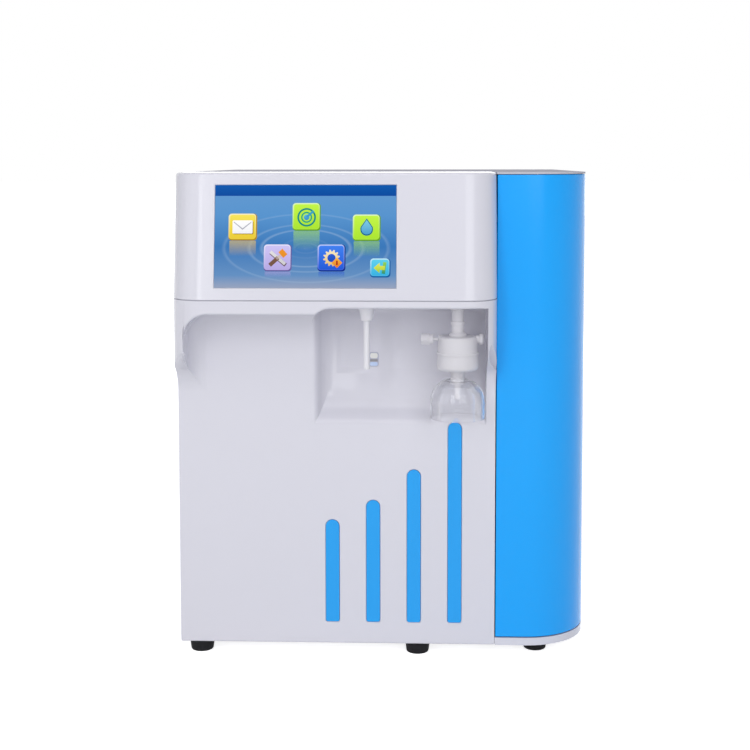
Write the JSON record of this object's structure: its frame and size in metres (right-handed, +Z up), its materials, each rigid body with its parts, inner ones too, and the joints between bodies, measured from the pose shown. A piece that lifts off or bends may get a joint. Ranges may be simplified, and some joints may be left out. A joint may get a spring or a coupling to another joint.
{
  "type": "ultrapure water system",
  "caption": "Bench-top water purifier: white cabinet with a tilted touch-screen head over a dispensing niche, blue hinged side door over its cartridge bay.",
  "frame": {"origin": "under the middle of the whole machine, on the surface its feet stand on", "axes": "+X to the user's right, +Y from the front to the rear, +Z up"},
  "size_m": [0.405, 0.5, 0.48],
  "materials": {
    "accent_blue": "satin plastic",
    "badge_grey": "small printed plate, no words",
    "board_green": "solder mask",
    "cabinet_white": "glossy moulded plastic",
    "cartridge_blue": "moulded",
    "cartridge_white": "moulded polypropylene",
    "clear_plastic": "clear polycarbonate",
    "clip_grey": "sprung nylon",
    "collet_blue": "acetal",
    "display_glass": "lit touch screen under glass",
    "door_blue": "glossy moulded plastic",
    "foot_rubber": "matt rubber",
    "frosted_plastic": "translucent polypropylene",
    "inlet_black": "moulded",
    "lamp_glass": "quartz",
    "magnet_black": "moulded magnet catch",
    "membrane_white": "pleated membrane",
    "metal_case": "folded sheet",
    "motor_paint": "black enamel",
    "outlet_white": "satin",
    "panel_white": "satin powder coat",
    "pump_black": "glass-filled nylon",
    "rotor_steel": "laminated steel",
    "steel_bright": "polished",
    "steel_sheet": "galvanised sheet",
    "tube_white": "polyethylene tube",
    "valve_body": "moulded nylon"
  },
  "bodies": {
    "cabinet": {"accent_bar_1": "accent_blue", "accent_bar_2": "accent_blue", "accent_bar_3": "accent_blue", "accent_bar_4": "accent_blue", "base_tray": "cabinet_white", "booster_pump_head": "pump_black", "booster_pump_motor": "motor_paint", "bulkhead_ports": "outlet_white", "cartridge_clips": "clip_grey", "cartridge_heads": "cartridge_blue", "catch_magnets": "magnet_black", "circulation_pump_housing": "pump_black", "control_board": "board_green", "display_module": "metal_case", "drain_plug": "frosted_plastic", "fan_frame": "inlet_black", "fan_guard": "steel_bright", "feed_valve": "valve_body", "filling_bell": "clear_plastic", "filter_capsule": "frosted_plastic", "filter_inlet_fitting": "frosted_plastic", "filter_membrane": "membrane_white", "filter_outlet_neck": "frosted_plastic", "frame_posts": "metal_case", "front_panel": "cabinet_white", "head_shell": "cabinet_white", "hinge_pins": "steel_bright", "internal_tubing": "tube_white", "left_side_panel": "panel_white", "membrane_housing": "cartridge_white", "nozzle_collar": "outlet_white", "outlet_badge": "badge_grey", "panel_screws": "steel_bright", "partition_plate": "steel_sheet", "polishing_cartridge_1": "cartridge_white", "polishing_cartridge_2": "cartridge_white", "power_inlet": "inlet_black", "power_supply": "metal_case", "pretreatment_cartridge": "cartridge_white", "rear_panel": "panel_white", "resistivity_cell": "valve_body", "rubber_feet": "foot_rubber", "screen_glass": "display_glass", "shelf_plate": "steel_sheet", "spout_tube": "outlet_white", "top_cover": "panel_white", "ultraviolet_lamp": "lamp_glass", "ultraviolet_reactor": "steel_bright"},
    "door": {"side_door": "door_blue", "catch_strikes": "steel_bright"},
    "vent": {"vent_cap": "frosted_plastic"},
    "booster_rotor": {"booster_pump_rotor": "rotor_steel"},
    "impeller": {"circulation_pump_impeller": "outlet_white"},
    "plunger": {"valve_plunger": "steel_bright"},
    "collet_1": {"port_collet_1": "collet_blue"},
    "collet_2": {"port_collet_2": "collet_blue"},
    "collet_3": {"port_collet_3": "collet_blue"},
    "drawer": {"fuse_drawer": "inlet_black"},
    "rocker": {"power_rocker": "inlet_black"},
    "fan": {"fan_rotor": "inlet_black"}
  },
  "joints": [
    {"name": "door_hinge", "type": "hinge", "parent": "cabinet", "child": "door", "pos_m": [0.193, 0.2182, 0.0196], "axis": [0, 0, 1], "range_deg": [0, 100]},
    {"name": "vent_turn", "type": "hinge", "parent": "cabinet", "child": "vent", "pos_m": [0.0431, -0.222, 0.3197], "axis": [1, 0, 0], "range_deg": [-180, 0]},
    {"name": "booster_spin", "type": "hinge", "parent": "cabinet", "child": "booster_rotor", "pos_m": [-0.1225, -0.072, 0.058], "axis": [0, 1, 0], "continuous": true},
    {"name": "impeller_spin", "type": "hinge", "parent": "cabinet", "child": "impeller", "pos_m": [-0.0225, -0.1, 0.058], "axis": [0, 1, 0], "continuous": true},
    {"name": "fan_spin", "type": "hinge", "parent": "cabinet", "child": "fan", "pos_m": [0.0125, 0.218, 0.411], "axis": [0, 1, 0], "continuous": true},
    {"name": "plunger_lift", "type": "slide", "parent": "cabinet", "child": "plunger", "axis": [0, 0, 1], "range_m": [0, 0.002], "stiffness_N_per_m": 200, "springref_m": -0.003},
    {"name": "power_switch", "type": "hinge", "parent": "cabinet", "child": "rocker", "pos_m": [-0.1385, 0.2295, 0.3515], "axis": [1, 0, 0], "range_deg": [-20, 0]},
    {"name": "fuse_pull", "type": "slide", "parent": "cabinet", "child": "drawer", "axis": [0, 1, 0], "range_m": [0, 0.015]},
    {"name": "collet_press_1", "type": "slide", "parent": "cabinet", "child": "collet_1", "axis": [0, -1, 0], "range_m": [0, 0.001], "stiffness_N_per_m": 300},
    {"name": "collet_press_2", "type": "slide", "parent": "cabinet", "child": "collet_2", "axis": [0, -1, 0], "range_m": [0, 0.001], "stiffness_N_per_m": 300},
    {"name": "collet_press_3", "type": "slide", "parent": "cabinet", "child": "collet_3", "axis": [0, -1, 0], "range_m": [0, 0.001], "stiffness_N_per_m": 300}
  ]
}
